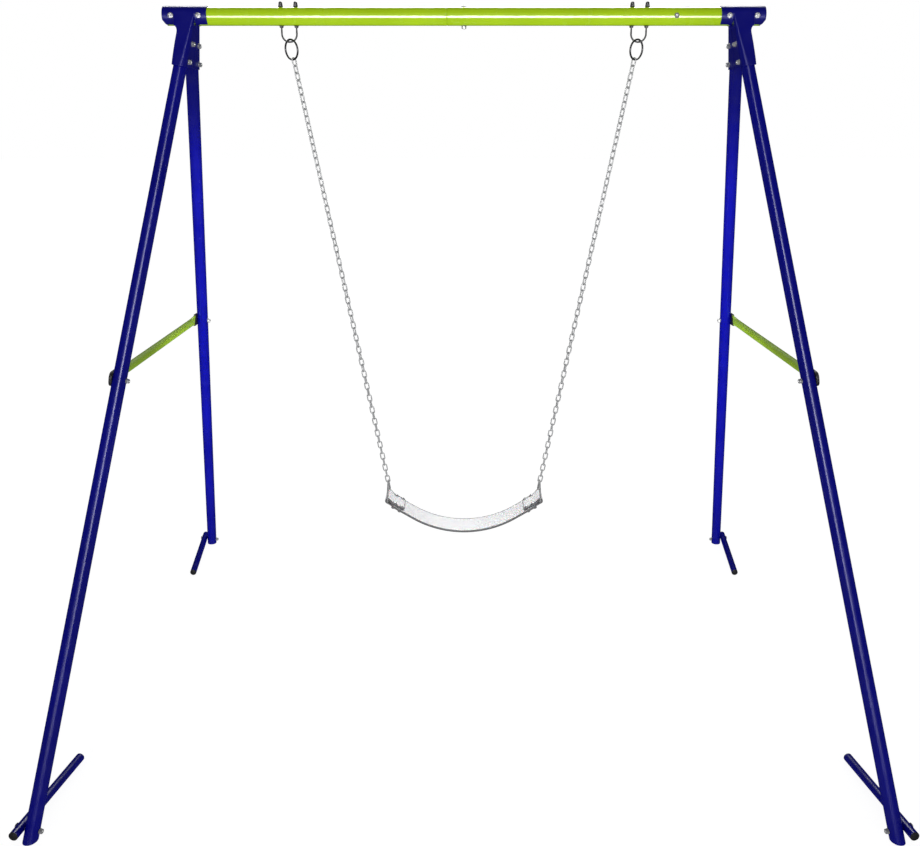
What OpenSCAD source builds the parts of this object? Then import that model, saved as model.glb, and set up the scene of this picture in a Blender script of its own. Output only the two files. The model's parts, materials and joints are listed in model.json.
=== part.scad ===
// A-frame swing set: a tubular steel frame, two side brackets, ground feet, and one belt seat on chains.
// X runs along the crossbar, Y is the direction of swing with the front at -Y, and Z is up.
// The origin is on the ground, midway between the four legs. Sizes are in millimetres.

/* [Frame] */
// Height of the crossbar's centre line above the ground
bar_z = 2117; // [2000:1:2250]
// Distance from the middle to the point where a side's two leg axes meet
apex_x = 805; // [780:5:830]
// Distance from the middle to the foot of a leg, along the crossbar
leg_x = 1150; // [1100:10:1200]
// Distance from the crossbar's plane to the foot of a leg
leg_y = 939; // [880:5:1000]
// Outer diameter of the legs
leg_d = 38; // [36:1:40]
// Outer diameter of the crossbar
bar_d = 51; // [48:1:52]
// Wall of the tubes
wall = 1.8; // [1.5:0.1:2.2]
// Half of the crossbar's length
bar_half = 868; // [866:1:870]
// Distance of the crossbar's visible joint from the middle, on the left
seam_x = 50; // [40:1:60]

/* [Brackets] */
// Inner end of a bracket's head
head_in = 750; // [748:1:756]
// Outer end of a bracket's head
head_out = 880; // [878:1:886]
// Thickness of the pressed plate
plate = 2.5; // [2:0.1:3]
// Height of a bracket below the crossbar's centre, measured in the side frame
bracket_drop = 142; // [136:1:150]
// Radius of the fillets between head and neck
fillet = 22; // [18:1:24]
// Places of the two bolts through the crossbar
bar_bolt_x = [773, 853];
// Places of the two bolts through each leg, measured down its axis from the crossbar
leg_bolt_at = [83, 139];
// Lower edge of the head, measured from the crossbar's centre
head_low = -21; // [-22:0.5:-19]
// Width of the bevel at the head's outer lower corner
head_bevel = 8; // [6:1:10]
// Where that bevel meets the head's end
head_side_low = -9; // [-11:0.5:-7]

/* [Braces and feet] */
// Outer diameter of the braces and feet
stay_d = 25; // [24:0.5:26]
// Height of the side braces
brace_z = 1130; // [1050:10:1200]
// How far a brace runs past its bolt
brace_over = 14; // [13:1:16]
// Thickness of a brace's flattened end
flat_t = 4; // [3.5:0.1:5]
// Height of a brace's flattened end
flat_h = 37; // [34:1:39]
// Height at which a foot is bolted to its leg
foot_z = 25; // [23:1:28]
// Length of a foot from its bolt to the inner end
foot_in = 315; // [280:5:340]
// Length of a foot from its bolt to the outer end
foot_out = 38; // [34:1:45]
// Angle at which a foot turns in towards the middle
toe = 6.4; // [4:0.1:8]

/* [Hangers and chains] */
// Distance of a U-bolt from the middle
u_x = 515; // [505:1:525]
// Height of the centre of the U-bolt's bottom wire
u_z = 2047; // [2044:1:2050]
// Centre-line radius of the U-bolt's bend
u_r = 22; // [21.5:0.1:23]
// Wire diameter of the U-bolt
u_wire = 5; // [4.8:0.1:5]
// Centre-line radius of the ring
ring_r = 28; // [27:0.5:29]
// Wire diameter of the ring
ring_wire = 5.5; // [5:0.1:5.6]
// Angle of the ring about the chain, away from facing forwards
ring_twist = 42; // [42:1:44]
// Wire diameter of the chain links
link_wire = 4; // [3.8:0.1:4]
// Centre-line width of a link
link_w = 13; // [12.5:0.1:13.5]
// Number of links in each chain
links = 66; // [64:2:68]

/* [Seat] */
// Distance from the middle to each seat hanger
seat_x = 257; // [250:1:262]
// Height of the pivot at the lower end of the chains
pivot_z = 656; // [650:1:662]
// Height of the bar that the belt end is folded around
hanger_bar_z = 604; // [602:1:608]
// Width of the belt
belt_w = 110; // [104:1:116]
// Thickness of the belt
belt_t = 6; // [5:0.5:6.5]
// Radius of the belt's middle curve
belt_r = 330; // [320:1:340]
// Slope of the belt's straight ends
belt_slope = 31.5; // [31:0.1:32]
// Wire diameter of the triangular hangers
hanger_wire = 6; // [5.5:0.1:6]

/* [Hidden] */
$fn = 48;

leg_blue = "navy";
bar_lime = "yellowgreen";
brace_lime = "olivedrab";
plug_black = [0.08, 0.08, 0.09];
zinc = "silver";
dark_steel = [0.2, 0.2, 0.21];

leg_r = leg_d / 2;
bar_r = bar_d / 2;
stay_r = stay_d / 2;
slip = 0.2;
// Gap between a fastener and what it is tightened on
seat_gap = 0.1;
splay = atan((leg_x - apex_x) / bar_z);
side_drop = bar_z / cos(splay);
lean = atan(leg_y / side_drop);
leg_len = side_drop / cos(lean);
leg_top = 61;
clear_below = 60;
// The part of the bracket's head that is blended into its neck, between the bolts
web = [784, 842];
// The blend's lower end, and its height along the leg
web_low = 40;
web_h = 90;
// The inside of a bracket is open at its ends.
open_end = 8;
parting_gap = 0.8;
bar_seat = bar_r + slip + plate + seat_gap;
leg_seat = leg_r + slip + plate + seat_gap;

// How far a cut runs past the faces that it goes through
past = 1;
bolt_r = 4;
hole_r = 4.4;
head_r = 8.5;
head_h = 4.5;
nut_af = 12;
nut_h = 6.5;
washer_r = 7.6;
washer_t = 1.6;
// Length of a bolt beyond its washer's seat
bolt_tail = washer_t + nut_h + 1.5;
// Clearance in a nut's bore, all round
nut_slip = 0.05;

spigot_len = 55;
// Length over which the left tube is drawn down to its spigot
step_len = 4;
// Gap that shows between the crossbar's two tubes
seam_gap = 0.8;
screw_x = 620;
screw_r = 3;
screw_len = 8;
screw_head_r = 7.5;
screw_head_h = 3.5;
socket_depth = 2;
bar_plug_len = 8;
bar_plug_rim = 2.5;
leg_plug_len = 16;
foot_plug_len = 14;

brace_drop = (bar_z - brace_z) / cos(splay);
brace_at = brace_drop / cos(lean);
brace_y = brace_drop * tan(lean);
brace_x = leg_r + flat_t / 2 + slip;
round_end = 80;
// The loft from round to flat starts a hair outside the round tube, all round.
loft_sides = 40;
loft_r = stay_r / cos(180 / loft_sides) + 0.08;
// How far the loft overlaps the round and the flat parts
loft_lap = 5;
flat_end = 40;
flat_corner = 14;
cap_wall = 2.5;
// Open end of a cap, measured from the brace's bolt, and the room that it leaves for the bolt's head
cap_end = 34;
cap_head_gap = 0.5;

foot_off = leg_r + stay_r + 0.5;
// The washers on the legs' inner sides stand off, because the feet are toed in.
foot_nut_gap = 0.6;
foot_drop = (bar_z - foot_z) / bar_z;
foot_at = [apex_x + (leg_x - apex_x) * foot_drop, leg_y * foot_drop, foot_z];
plug_head = 3;
foot_bolt_z = foot_z + foot_off * sin(splay);
foot_pitch = asin((foot_bolt_z - stay_r - 0.3) / ((foot_in + plug_head) * cos(splay)));

// The ring hangs a little below the U-bolt's wire, so that both turn freely.
u_gap = 7;
link_gap = 0.15;
hook_gap = 5;
chain_run = [u_x - seat_x, u_z - pivot_z];
chain_tilt = atan(chain_run[0] / chain_run[1]);
hang_len = norm(chain_run);
ring_low = 2 * ring_r - u_gap;
first_link = ring_low - hook_gap;
link_pitch = (hang_len - first_link - link_wire - link_gap) / links;
link_len = link_pitch + link_wire + link_gap;
u_hole_r = u_wire / 2 + 0.3;
u_washer_r = 7.5;
u_washer_t = 1.2;
u_nut_af = 9.5;
u_nut_h = 4.5;
acorn_af = 11;
acorn_hex_h = 6;
acorn_dome_h = 8;
// Length of a U-bolt's legs above the crossbar
u_end = 8;

hanger_half = belt_w / 2;
hanger_bend = 8;
// The eye clears the last link, which is tilted with the chain.
eye_r = hanger_wire / 2 + link_wire / 2 + 0.9;
tongue_w = 92;
bore_slip = 0.3;
loop_r = hanger_wire / 2 + bore_slip + belt_t;
flap_len = 64;
fold_start = 18;
shoulder = 20;
belt_edge = [belt_r * sin(belt_slope), belt_r * (1 - cos(belt_slope))];
belt_off = loop_r - belt_t / 2;
end_point = [seat_x + belt_off * sin(belt_slope), hanger_bar_z - belt_off * cos(belt_slope)];
straight = (end_point[0] - belt_edge[0]) / cos(belt_slope);
belt_z = end_point[1] - belt_edge[1] - straight * sin(belt_slope);
seat_bolt_r = 3;
seat_bolt_head = [6.5, 3.6];
seat_washer_r = 8.5;
seat_washer_t = 1.2;
seat_nut_af = 10;
seat_nut_h = 6;
seat_bolt_at = [27, 52];
seat_bolt_y = 37;

// ---------- places ----------

module on_side(side) {
    if (side > 0) children();
    else mirror([1, 0, 0]) children();
}

module on_end(end) {
    if (end > 0) children();
    else mirror([0, 1, 0]) children();
}

// The four corners: children are drawn for the right rear corner.
module each_corner() {
    for (side = [-1, 1], end = [-1, 1]) on_side(side) on_end(end) children();
}

// The plane of the right-hand pair of legs: X is its normal and Z points up it.
module side_frame() {
    translate([apex_x, 0, bar_z]) rotate([0, -splay, 0]) children();
}

// The right rear leg: its axis is Z, and the leg hangs below the origin.
module leg_frame() {
    side_frame() rotate([lean, 0, 0]) children();
}

// The foot's bolt: X is its axis, and Y runs along the foot.
module foot_frame() {
    translate(foot_at) rotate([0, 0, -toe]) rotate([0, -splay, 0]) children();
}

module foot_line() {
    foot_frame() translate([foot_off, 0, 0]) rotate([foot_pitch, 0, 0]) children();
}

// A right-hand chain: Z points up it, and the origin is on the U-bolt's bottom wire.
module chain_frame() {
    translate([u_x, 0, u_z]) rotate([0, chain_tilt, 0]) children();
}

// ---------- fasteners and wire ----------

module x_rod(r, from, to) {
    translate([from, 0, 0]) rotate([0, 90, 0]) cylinder(r = r, h = to - from);
}

module y_rod(r, from, to) {
    translate([0, from, 0]) rotate([-90, 0, 0]) cylinder(r = r, h = to - from);
}

module z_rod(r, from, to) {
    translate([0, 0, from]) cylinder(r = r, h = to - from);
}

// A shallow dome of the given radius and height, flat side down.
module dome(r, h) {
    ball = (r * r + h * h) / (2 * h);
    intersection() {
        translate([0, 0, h - ball]) sphere(r = ball);
        cylinder(r = r + past, h = h + past);
    }
}

// A domed bolt along -X through a joint that is `grip` thick, with its head's underside at the origin.
module x_bolt(grip) {
    x_rod(bolt_r, -grip - bolt_tail, 0);
    rotate([0, 90, 0]) dome(head_r, head_h);
}

module hex_nut(af, h, bore) {
    difference() {
        cylinder(r = af / 2 / cos(30), h = h, $fn = 6);
        translate([0, 0, -past]) cylinder(r = bore, h = h + 2 * past);
    }
}

module washer(r, h, bore) {
    difference() {
        cylinder(r = r, h = h);
        translate([0, 0, -past]) cylinder(r = bore, h = h + 2 * past);
    }
}

// A nut on a washer, sitting at the origin and facing +Z.
module nut_and_washer() {
    washer(washer_r, washer_t, bolt_r + slip);
    translate([0, 0, washer_t]) hex_nut(nut_af, nut_h, bolt_r + nut_slip);
}

// A bend in the YZ plane about the origin, from angle a1 to a2 measured from +Y towards +Z.
module wire_bend(bend_r, wire_r, a1, a2) {
    rotate([90, 0, 90]) rotate([0, 0, a1]) rotate_extrude(angle = a2 - a1)
        translate([bend_r, 0]) circle(r = wire_r);
}

// A tube along +X, open at both ends.
module x_tube(r, t, from, to) {
    difference() {
        x_rod(r, from, to);
        x_rod(r - t, from - past, to + past);
    }
}

// ---------- crossbar ----------

module bar_holes() {
    for (side = [-1, 1]) {
        for (x = bar_bolt_x) translate([side * x, 0, bar_z]) y_rod(hole_r, -bar_d, bar_d);
        for (dx = [-u_r, u_r]) translate([side * u_x + dx, 0, bar_z]) z_rod(u_hole_r, -bar_d, bar_d);
    }
    translate([0, 0, bar_z]) z_rod(hole_r, -bar_d, bar_d);
    translate([screw_x, 0, bar_z]) y_rod(screw_r + slip, -bar_d, 0);
}

module crossbar_left() {
    spigot_r = bar_r - wall - slip;
    color(bar_lime) difference() {
        translate([0, 0, bar_z]) union() {
            x_tube(bar_r, wall, -bar_half, -seam_x);
            x_tube(spigot_r, wall, -seam_x - 2 * step_len, spigot_len);
            x_tube(bar_r, bar_r - spigot_r + wall, -seam_x - step_len, -seam_x);
        }
        bar_holes();
    }
}

module crossbar_right() {
    color(bar_lime) difference() {
        translate([0, 0, bar_z]) x_tube(bar_r, wall, -seam_x + seam_gap, bar_half);
        bar_holes();
    }
}

module crossbar_joint_bolt() {
    color(zinc) translate([0, 0, bar_z + bar_r]) rotate([0, -90, 0]) x_bolt(bar_d);
}

module crossbar_joint_nut() {
    color(zinc) translate([0, 0, bar_z - bar_r]) mirror([0, 0, 1]) nut_and_washer();
}

module crossbar_end_plugs() {
    color(plug_black) for (side = [-1, 1]) on_side(side) translate([0, 0, bar_z]) {
        x_rod(bar_r - wall - slip, bar_half - bar_plug_len, bar_half);
        x_rod(bar_r, bar_half, bar_half + bar_plug_rim);
    }
}

module crossbar_screw() {
    color(zinc) translate([screw_x, -bar_r - seat_gap, bar_z]) {
        y_rod(screw_r, 0, screw_len);
        rotate([90, 0, 0]) difference() {
            dome(screw_head_r, screw_head_h);
            translate([0, 0, screw_head_h - socket_depth]) cylinder(r = screw_r, h = screw_head_h, $fn = 6);
        }
    }
}

// ---------- brackets ----------

// Places in the front view: x along the crossbar, and y measured up from its centre.
function neck_edge(y, half) = apex_x - y * tan(splay) + half / cos(splay);

function arc(centre, r, from, to, steps = 12) =
    [for (i = [0 : steps]) let (a = from + (to - from) * i / steps) centre + r * [cos(a), sin(a)]];

// The front view of a bracket, grown by g from the inside of its plate, with fillets into its neck.
module bracket_outline(g, ends) {
    half = leg_r + slip + g;
    low = head_low - g;
    r = fillet - g;
    fillet_y = low - r;
    outer = [neck_edge(fillet_y, half) + r / cos(splay), fillet_y];
    inner = [neck_edge(fillet_y, -half) - r / cos(splay), fillet_y];
    bottom = -2 * bracket_drop;
    polygon(concat(
        [[neck_edge(bottom, -half), bottom], [neck_edge(bottom, half), bottom]],
        arc(outer, r, 180 + splay, 90),
        [[head_out + ends - head_bevel, low], [head_out + ends, head_side_low - g]],
        [[head_out + ends, bar_d], [head_in - ends, bar_d], [head_in - ends, low]],
        arc(inner, r, 90, splay)
    ));
}

// The right rear half of the bracket's body as a solid block, grown by g.
module bracket_block(g, ends) {
    r = bar_r + slip + g;
    half = leg_r + slip + g;
    floor_z = -bracket_drop - ends;
    intersection() {
        union() {
            translate([0, 0, bar_z]) x_rod(r, head_in - ends, head_out + ends);
            hull() {
                translate([0, 0, bar_z]) x_rod(r, web[0], web[1]);
                leg_frame() translate([0, 0, -bracket_drop - web_low]) cylinder(r = half, h = web_h);
            }
            side_frame() rotate([90, 0, 90]) translate([0, 0, -half]) linear_extrude(2 * half)
                polygon([[-past, 0], [-past, floor_z], [-floor_z * tan(lean), floor_z], [0, 0]]);
        }
        translate([0, 3 * bar_d, bar_z]) rotate([90, 0, 0]) linear_extrude(6 * bar_d)
            bracket_outline(g, ends);
    }
}

module bracket_half() {
    reach = 2 * bracket_drop;
    color(leg_blue) difference() {
        bracket_block(plate, 0);
        bracket_block(0, open_end);
        translate([0, 0, bar_z]) x_rod(bar_r + seat_gap, head_in - past, head_out + past);
        leg_frame() translate([0, 0, -reach]) cylinder(r = leg_r + seat_gap, h = reach);
        // Below the neck, and on the other half's side of the parting plane
        side_frame() translate([-reach / 2, -bar_d, -bracket_drop - reach]) cube([reach, reach, reach]);
        translate([head_in - bar_d, -reach + parting_gap / 2, bar_z - reach]) cube([reach, reach, 2 * reach]);
        for (x = bar_bolt_x) translate([x, 0, bar_z]) y_rod(hole_r, 0, bar_d);
        leg_frame() for (at = leg_bolt_at) translate([0, 0, -at]) x_rod(hole_r, -bar_d, bar_d);
    }
}

module bracket_bar_bolts() {
    color(zinc) for (side = [-1, 1], x = bar_bolt_x) translate([side * x, bar_seat, bar_z])
        rotate([0, 0, 90]) x_bolt(2 * bar_seat);
}

module bracket_bar_nuts() {
    color(zinc) for (side = [-1, 1], x = bar_bolt_x) translate([side * x, -bar_seat, bar_z])
        rotate([90, 0, 0]) nut_and_washer();
}

module bracket_leg_bolts() {
    color(zinc) each_corner() leg_frame() for (at = leg_bolt_at) translate([leg_seat, 0, -at])
        x_bolt(2 * leg_seat);
}

module bracket_leg_nuts() {
    color(zinc) each_corner() leg_frame() for (at = leg_bolt_at) translate([-leg_seat, 0, -at])
        rotate([0, -90, 0]) nut_and_washer();
}

// ---------- legs ----------

module below_ground() {
    half = 150;
    translate([leg_x - half, leg_y - half, -2 * half]) cube(2 * half);
}

module leg() {
    color(leg_blue) difference() {
        leg_frame() translate([0, 0, -leg_len - clear_below]) difference() {
            cylinder(r = leg_r, h = leg_len + clear_below - leg_top);
            translate([0, 0, -past]) cylinder(r = leg_r - wall, h = leg_len + clear_below);
        }
        below_ground();
        leg_frame() for (at = concat(leg_bolt_at, [brace_at])) translate([0, 0, -at])
            x_rod(hole_r, -leg_d, leg_d);
        foot_frame() x_rod(hole_r, -leg_d, leg_d);
    }
}

module leg_bottom_plugs() {
    color(plug_black) each_corner() difference() {
        leg_frame() translate([0, 0, -leg_len - clear_below])
            cylinder(r = leg_r - wall - slip, h = clear_below + leg_plug_len);
        below_ground();
    }
}

// ---------- side braces ----------

// A round-cornered plate standing on edge, drawn along +Y from y1 to y2.
module brace_plate(t, h, y1, y2, corner) {
    rotate([90, 0, 90]) translate([0, 0, -t / 2]) linear_extrude(t) {
        translate([y1, -h / 2]) square([y2 - y1 - corner, h]);
        translate([y1, -h / 2 + corner]) square([y2 - y1, h - 2 * corner]);
        for (z = [-1, 1]) translate([y2 - corner, z * (h / 2 - corner)]) circle(r = corner);
    }
}

module brace_end() {
    flat_y = brace_y - flat_end;
    round_y = brace_y - round_end;
    hull() {
        y_rod(loft_r, round_y - loft_lap, round_y, $fn = loft_sides);
        brace_plate(flat_t, flat_h, flat_y, flat_y + loft_lap, 1);
    }
    brace_plate(flat_t, flat_h, flat_y, brace_y + brace_over, flat_corner);
}

module brace() {
    mid = brace_y - round_end;
    color(brace_lime) side_frame() translate([brace_x, 0, -brace_drop]) difference() {
        union() {
            y_rod(stay_r, -mid, mid);
            for (end = [-1, 1]) on_end(end) brace_end();
        }
        y_rod(stay_r - wall, -mid + loft_lap, mid - loft_lap);
        for (end = [-1, 1]) translate([0, end * brace_y, 0]) x_rod(hole_r, -stay_d, stay_d);
    }
}

// Caps on the flattened ends, cut away round the bolts' heads and where the legs pass behind them.
module brace_end_caps() {
    tip = brace_y + brace_over;
    back = brace_y - cap_end;
    corner = flat_corner + cap_wall;
    color(plug_black) each_corner() side_frame() translate([brace_x, 0, -brace_drop]) difference() {
        brace_plate(flat_t + 2 * cap_wall, flat_h + 2 * cap_wall, back, tip + cap_wall, corner);
        brace_plate(flat_t + slip, flat_h + slip, back - past, tip + slip, flat_corner);
        translate([0, brace_y, 0]) x_rod(head_r + cap_head_gap, -flat_h, flat_h);
        translate([-brace_x, brace_y, 0]) rotate([lean, 0, 0])
            cylinder(r = leg_r + seat_gap, h = 3 * flat_h, center = true);
    }
}

module brace_bolts() {
    head = brace_x + flat_t / 2;
    color(zinc) each_corner() side_frame() translate([head, brace_y, -brace_drop]) x_bolt(head + leg_r);
}

module brace_nuts() {
    color(zinc) each_corner() side_frame() translate([-leg_r, brace_y, -brace_drop])
        rotate([0, -90, 0]) nut_and_washer();
}

// ---------- feet ----------

module foot() {
    color(leg_blue) difference() {
        foot_line() difference() {
            y_rod(stay_r, -foot_in, foot_out);
            y_rod(stay_r - wall, -foot_in - past, foot_out + past);
        }
        foot_frame() x_rod(hole_r, 0, 2 * foot_off);
    }
}

module foot_plug() {
    rotate([-90, 0, 0]) dome(stay_r, plug_head);
    y_rod(stay_r - wall - slip, -foot_plug_len, 0);
}

module foot_end_plugs() {
    color(plug_black) each_corner() foot_line() {
        translate([0, foot_out, 0]) foot_plug();
        translate([0, -foot_in, 0]) rotate([180, 0, 0]) foot_plug();
    }
}

module foot_bolts() {
    head = foot_off + stay_r;
    color(zinc) each_corner() foot_frame() translate([head, 0, 0]) x_bolt(head + leg_r + foot_nut_gap);
}

module foot_nuts() {
    color(zinc) each_corner() foot_frame() translate([-leg_r - foot_nut_gap, 0, 0])
        rotate([0, -90, 0]) nut_and_washer();
}

// ---------- hangers and chains ----------

module u_bolt() {
    bend_z = u_z + u_r;
    color(dark_steel) translate([u_x, 0, bend_z]) {
        rotate([0, 0, 90]) wire_bend(u_r, u_wire / 2, 180, 360);
        for (dx = [-u_r, u_r]) translate([dx, 0, 0]) z_rod(u_wire / 2, 0, bar_z + bar_r + u_end - bend_z);
    }
}

module each_u_leg() {
    for (side = [-1, 1], dx = [-u_r, u_r]) translate([side * u_x + dx, 0, bar_z]) children();
}

module u_bolt_acorn_nuts() {
    color(dark_steel) each_u_leg() translate([0, 0, bar_r + u_washer_t]) difference() {
        union() {
            cylinder(r = acorn_af / 2 / cos(30), h = acorn_hex_h, $fn = 6);
            translate([0, 0, acorn_hex_h]) dome(acorn_af / 2, acorn_dome_h);
        }
        z_rod(u_wire / 2 + nut_slip, -past, u_end + past);
    }
}

module u_bolt_lower_nuts() {
    color(dark_steel) each_u_leg() translate([0, 0, -bar_r - u_washer_t - u_nut_h])
        hex_nut(u_nut_af, u_nut_h, u_wire / 2 + nut_slip);
}

module u_bolt_washers() {
    color(dark_steel) each_u_leg() for (z = [bar_r, -bar_r - u_washer_t]) translate([0, 0, z])
        washer(u_washer_r, u_washer_t, u_wire / 2 + slip);
}

module ring() {
    color(dark_steel) chain_frame() translate([0, 0, u_gap - ring_r]) rotate([90, 0, ring_twist])
        rotate_extrude() translate([ring_r, 0]) circle(r = ring_wire / 2);
}

// One link about the origin, long along Z and facing Y.
module link() {
    bend = link_w / 2;
    straight_h = link_len / 2 - bend;
    rotate([0, 0, -90]) {
        translate([0, 0, straight_h]) wire_bend(bend, link_wire / 2, 0, 180);
        translate([0, 0, -straight_h]) wire_bend(bend, link_wire / 2, 180, 360);
        for (y = [-bend, bend]) translate([0, y, 0]) z_rod(link_wire / 2, -straight_h, straight_h);
    }
}

module chain() {
    first = -first_link - link_len / 2;
    turn = 90 - ring_twist / (links - 1);
    color(zinc) chain_frame() for (i = [0 : links - 1])
        translate([0, 0, first - i * link_pitch]) rotate([0, 0, ring_twist + 90 + i * turn]) link();
}

// ---------- seat ----------

// The straight side of a hanger runs between its eye and its lower corner, tangent to both bends.
module seat_hanger() {
    wire_r = hanger_wire / 2;
    corner = [hanger_half - hanger_bend, hanger_bar_z - pivot_z + hanger_bend];
    reach = norm(corner);
    side_angle = atan2(corner[1], corner[0]) + acos((eye_r - hanger_bend) / reach);
    // The straights are a hair thinner than the bends and end inside them.
    rod_r = wire_r - 0.02;
    lap = 0.4;
    side_len = sqrt(reach * reach - pow(hanger_bend - eye_r, 2));
    color(zinc) translate([seat_x, 0, pivot_z]) {
        wire_bend(eye_r, wire_r, side_angle, 180 - side_angle);
        for (end = [-1, 1]) on_end(end) {
            translate([0, eye_r * cos(side_angle), eye_r * sin(side_angle)])
                rotate([side_angle - 90, 0, 0])
                    y_rod(rod_r, -lap, side_len + lap);
            translate([0, corner[0], corner[1]]) wire_bend(hanger_bend, wire_r, -90, side_angle);
        }
        translate([0, 0, corner[1] - hanger_bend]) y_rod(rod_r, -corner[0] - lap, corner[0] + lap);
    }
}

// The right-hand end of the belt: the origin is on the hanger's lower bar, X points out along the belt.
module belt_end_frame() {
    translate([seat_x, 0, hanger_bar_z]) rotate([0, -belt_slope, 0]) children();
}

// An outline drawn with x and z as its axes, made into a solid of the given width along Y.
module across(width) {
    rotate([90, 0, 0]) linear_extrude(width, center = true) children();
}

// The side view of the belt's arc and of its right-hand straight end.
module belt_line() {
    far = 2 * belt_r;
    intersection() {
        translate([0, belt_r]) difference() {
            circle(r = belt_r + belt_t / 2, $fn = 200);
            circle(r = belt_r - belt_t / 2, $fn = 200);
        }
        polygon([
            [0, belt_r],
            [-far * sin(belt_slope), belt_r - far * cos(belt_slope)],
            [far * sin(belt_slope), belt_r - far * cos(belt_slope)]
        ]);
    }
    for (side = [-1, 1]) scale([side, 1]) translate(belt_edge) rotate(belt_slope)
        translate([-0.5, -belt_t / 2]) square([straight - shoulder + 0.5, belt_t]);
}

// The side view of the belt's end, folded over the hanger's bar and back on itself.
module belt_fold() {
    under = -loop_r;
    over = [-fold_start, under + 2 * belt_t];
    touch = atan2(over[1], -over[0]) + acos(loop_r / norm(over));
    touch_r = loop_r - 0.06;
    difference() {
        union() {
            circle(r = loop_r);
            polygon([
                [0, under], [0, 0], [-touch_r * cos(touch), touch_r * sin(touch)],
                over, [-fold_start, under]
            ]);
            translate([-flap_len, under + belt_t - 0.2]) square([flap_len - fold_start, belt_t + 0.2]);
            translate([-shoulder - 1, under]) square([shoulder + 1, belt_t]);
        }
        circle(r = hanger_wire / 2 + bore_slip);
    }
}

module each_seat_bolt() {
    for (side = [-1, 1], at = seat_bolt_at, y = [-seat_bolt_y, seat_bolt_y])
        on_side(side) belt_end_frame() translate([-at, y, -loop_r]) children();
}

module seat_belt() {
    color("white") difference() {
        union() {
            translate([0, 0, belt_z]) across(belt_w) belt_line();
            for (side = [-1, 1]) on_side(side) belt_end_frame() across(tongue_w) belt_fold();
        }
        each_seat_bolt() z_rod(seat_bolt_r + slip, -past, 2 * belt_t + past);
    }
}

module seat_bolts() {
    stack = 2 * belt_t + seat_washer_t;
    color(zinc) each_seat_bolt() {
        z_rod(seat_bolt_r, -seat_washer_t - seat_nut_h - 1.5, stack);
        translate([0, 0, stack]) dome(seat_bolt_head[0], seat_bolt_head[1]);
    }
}

module seat_washers() {
    color(zinc) each_seat_bolt() for (z = [-seat_washer_t, 2 * belt_t]) translate([0, 0, z])
        washer(seat_washer_r, seat_washer_t, seat_bolt_r + slip);
}

module seat_nuts() {
    color(zinc) each_seat_bolt() translate([0, 0, -seat_washer_t - seat_nut_h])
        hex_nut(seat_nut_af, seat_nut_h, seat_bolt_r + nut_slip);
}

crossbar_left();
crossbar_right();
crossbar_joint_bolt();
crossbar_joint_nut();
crossbar_end_plugs();
crossbar_screw();
on_side(-1) on_end(-1) bracket_half();  // bracket_front_left
on_side(-1) on_end(1) bracket_half();  // bracket_rear_left
on_side(1) on_end(-1) bracket_half();  // bracket_front_right
on_side(1) on_end(1) bracket_half();  // bracket_rear_right
bracket_bar_bolts();
bracket_bar_nuts();
on_side(-1) on_end(-1) leg();  // leg_front_left
on_side(-1) on_end(1) leg();  // leg_rear_left
on_side(1) on_end(-1) leg();  // leg_front_right
on_side(1) on_end(1) leg();  // leg_rear_right
bracket_leg_bolts();
bracket_leg_nuts();
leg_bottom_plugs();
on_side(-1) brace();  // brace_left
on_side(1) brace();  // brace_right
brace_end_caps();
brace_bolts();
brace_nuts();
on_side(-1) on_end(-1) foot();  // foot_front_left
on_side(-1) on_end(1) foot();  // foot_rear_left
on_side(1) on_end(-1) foot();  // foot_front_right
on_side(1) on_end(1) foot();  // foot_rear_right
foot_end_plugs();
foot_bolts();
foot_nuts();
on_side(-1) u_bolt();  // u_bolt_left
on_side(1) u_bolt();  // u_bolt_right
u_bolt_acorn_nuts();
u_bolt_lower_nuts();
u_bolt_washers();
on_side(-1) ring();  // ring_left
on_side(1) ring();  // ring_right
on_side(-1) chain();  // chain_left
on_side(1) chain();  // chain_right
on_side(-1) seat_hanger();  // seat_hanger_left
on_side(1) seat_hanger();  // seat_hanger_right
seat_belt();
seat_bolts();
seat_washers();
seat_nuts();
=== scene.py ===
import json
import math
from collections import namedtuple

import bmesh
import bpy
import numpy as np
from mathutils import Matrix, Vector

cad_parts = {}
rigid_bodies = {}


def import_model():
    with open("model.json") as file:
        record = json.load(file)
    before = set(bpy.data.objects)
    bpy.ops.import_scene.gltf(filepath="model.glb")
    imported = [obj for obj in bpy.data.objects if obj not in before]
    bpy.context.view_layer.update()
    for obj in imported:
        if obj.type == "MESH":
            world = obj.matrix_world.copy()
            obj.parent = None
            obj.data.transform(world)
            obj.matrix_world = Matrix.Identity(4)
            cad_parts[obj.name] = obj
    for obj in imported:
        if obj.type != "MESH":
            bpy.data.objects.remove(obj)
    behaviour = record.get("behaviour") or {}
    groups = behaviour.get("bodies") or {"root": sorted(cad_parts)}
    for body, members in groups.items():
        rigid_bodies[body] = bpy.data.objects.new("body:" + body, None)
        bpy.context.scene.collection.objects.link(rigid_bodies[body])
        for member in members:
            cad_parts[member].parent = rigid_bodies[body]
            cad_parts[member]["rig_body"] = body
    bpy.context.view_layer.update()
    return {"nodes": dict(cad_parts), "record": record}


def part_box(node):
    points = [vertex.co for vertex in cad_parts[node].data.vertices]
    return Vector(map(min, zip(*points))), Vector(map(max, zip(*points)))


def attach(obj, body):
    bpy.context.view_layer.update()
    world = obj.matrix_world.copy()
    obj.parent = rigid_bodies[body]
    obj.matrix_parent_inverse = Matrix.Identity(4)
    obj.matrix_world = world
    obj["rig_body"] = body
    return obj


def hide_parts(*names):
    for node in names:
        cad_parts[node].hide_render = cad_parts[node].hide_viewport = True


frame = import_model()

# All lengths are in metres, in the frame of the CAD model: X along the crossbar, the front at -Y, Z up.
X, Y, Z = np.eye(3)

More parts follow.
